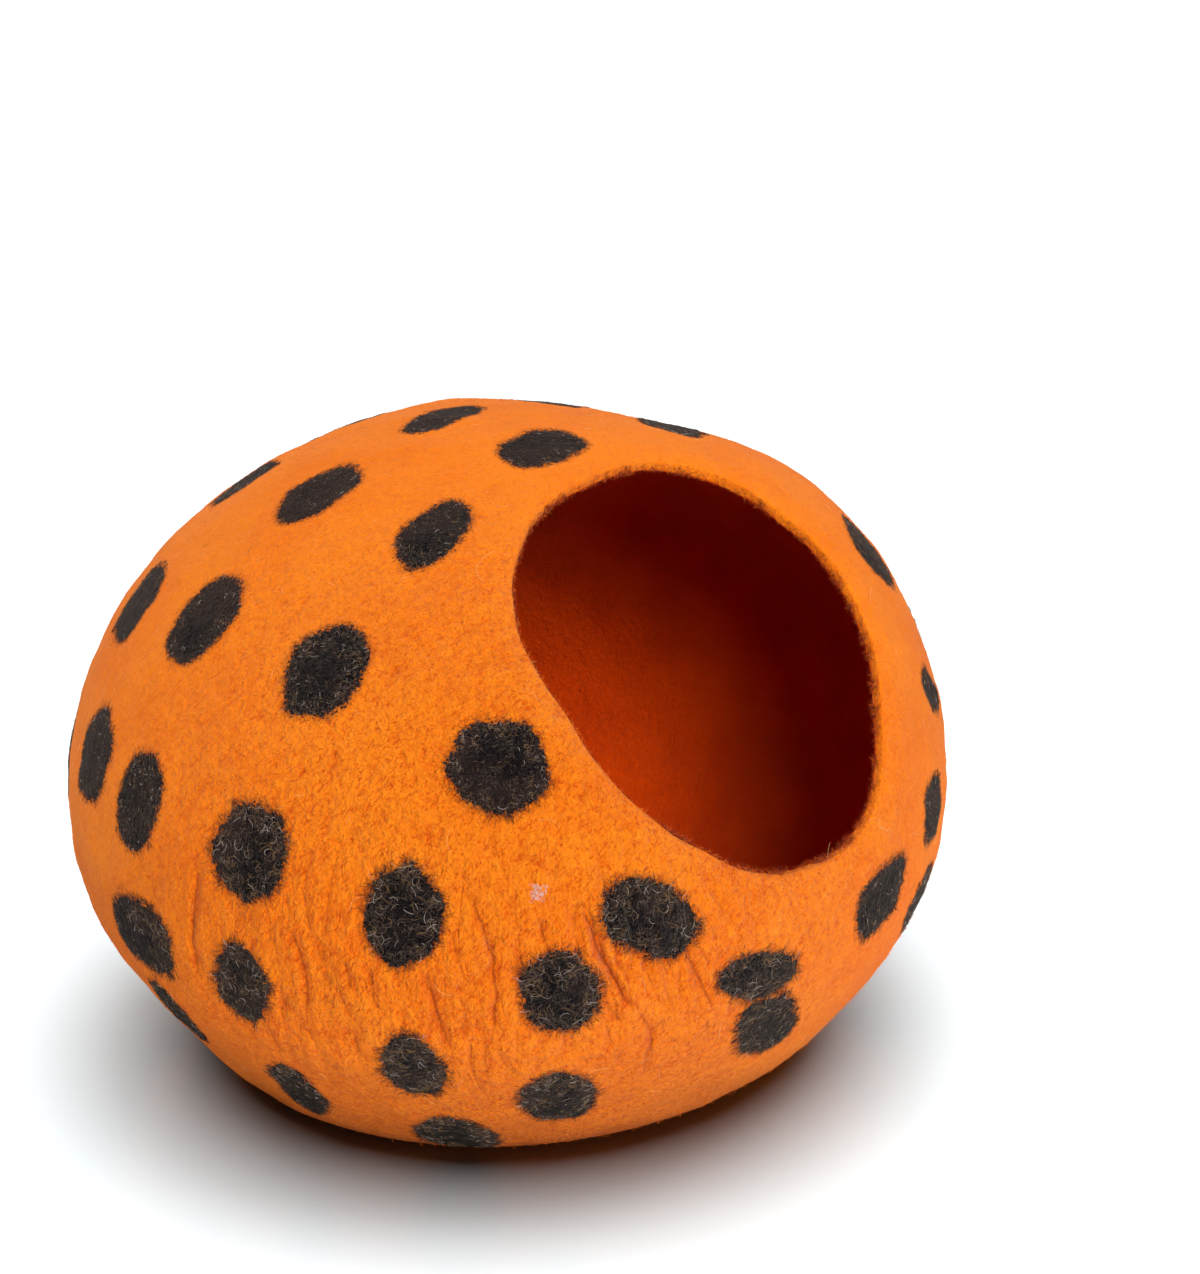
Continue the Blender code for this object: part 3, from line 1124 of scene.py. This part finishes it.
def lintPatch(apart, inside, middles):
    far = np.linalg.norm(middles - feltPoint(*lint["place"]), axis=1) / lint["spread"]
    return (inside < 0.05) * eased(1, 0.5, far)


layWool(lint, lintPatch)

strayHairs = {                   # long pale hairs that lie on the felt
    "pieces": ("stray_hairs",),
    "slot": "pale_wool",
    "count": 220,
    "steps": 8,
    "length": (4.0, 12.0),
    "radius": (0.055, 0.080),
    "riseRoot": (4, 12),
    "riseTip": (-8, -1),
    "curl": (20, 120),
    "sunk": 0.05,
    "colours": (
        ("stray_peach", (0.90, 0.46, 0.17), 0.6),
        ("stray_amber", (0.86, 0.30, 0.04), 0.25),
        ("stray_brown", (0.20, 0.06, 0.015), 0.15),
    ),
    "seed": 61,
}


def clearOrange(apart, inside, middles):
    return (inside < 0.001) * eased(1.0, 3.0, apart) * eased(0.01, 0.03, middles[:, 2])


layWool(strayHairs, clearOrange)

# Floor, light and camera
studio = {
    "floorSide": 40.0,
    "floorColour": (0.36, 0.385, 0.392),
    "floorRoughness": 0.16,
    "floorGloss": 0.3,
    "skyStrength": 0.02,
    # Flags keep each sun off the other side, so that the front light leaves the shadow dark:
    # name, what it lights, bearing, rise, strength, width of its disc in degrees
    "suns": (
        ("key", "cave", -21, 37, 2.95, 26),
        ("low", "cave", 0, 3, 1.55, 30),
        ("top", "cave", -173, 77, 1.30, 35),
        ("back_left", "cave", -173, 45, 1.30, 35),
        ("back", "cave", 142, 15, 0.65, 35),
        ("floor_top", "floor", 0, 90, 8.40, 74),
        ("floor_right", "floor", 97, 70, 3.40, 50),
        ("floor_left", "floor", -173, 70, 1.30, 50),
    ),
    "cameraTurn": -38.25,
    "cameraRise": 24.67,
    "cameraDistance": 1.525,
    "lens": 95.35,
    "shift": (0.0728, 0.0758),
}


def makeFloor(look=studio):
    bpy.ops.object.select_all(action="DESELECT")
    bpy.ops.mesh.primitive_plane_add(size=look["floorSide"])
    floor = bpy.context.object
    floor.name = "floor"
    finish = Finish("floor_white")
    finish.set(Base_Color=opaque(look["floorColour"]), Roughness=look["floorRoughness"],
               Specular_IOR_Level=look["floorGloss"])
    floor.data.materials.append(finish.material)
    return floor


def softSun(name, lit, bearing, rise, strength, width):
    lamp = bpy.data.lights.new(name, "SUN")
    lamp.energy = strength
    lamp.angle = math.radians(width)
    holder = bpy.data.objects.new(name, lamp)
    holder.rotation_euler = Vector(wayTo(bearing, rise)).to_track_quat("Z", "Y").to_euler()
    scene.collection.objects.link(holder)
    holder.light_linking.receiver_collection = lit


def makeStudio(floor, look=studio):
    middle = (0, 0, caveForm["height"] / 2)
    lit = {"cave": [feltCave, *extras], "floor": [floor]}
    for name, pieces in lit.items():
        lit[name] = bpy.data.collections.new(name + "_lit")
        for piece in pieces:
            lit[name].objects.link(piece)
    for name, side, *sun in look["suns"]:
        softSun(name, lit[side], *sun)
    world = bpy.data.worlds.new("studio")
    world.use_nodes = True
    sky = world.node_tree.nodes["Background"]
    sky.inputs["Color"].default_value = (1, 1, 1, 1)
    sky.inputs["Strength"].default_value = look["skyStrength"]
    scene.world = world
    scene.view_settings.view_transform = "Standard"

    lens = bpy.data.cameras.new("camera")
    lens.lens = look["lens"]
    lens.sensor_fit = "HORIZONTAL"
    lens.sensor_width = 36
    lens.shift_x, lens.shift_y = look["shift"]
    camera = bpy.data.objects.new("camera", lens)
    back = Vector(-wayTo(look["cameraTurn"] + 180, -look["cameraRise"]))
    camera.location = Vector(middle) + back * look["cameraDistance"]
    camera.rotation_euler = back.to_track_quat("Z", "Y").to_euler()
    scene.collection.objects.link(camera)
    scene.camera = camera


makeStudio(makeFloor())
print("studio set")
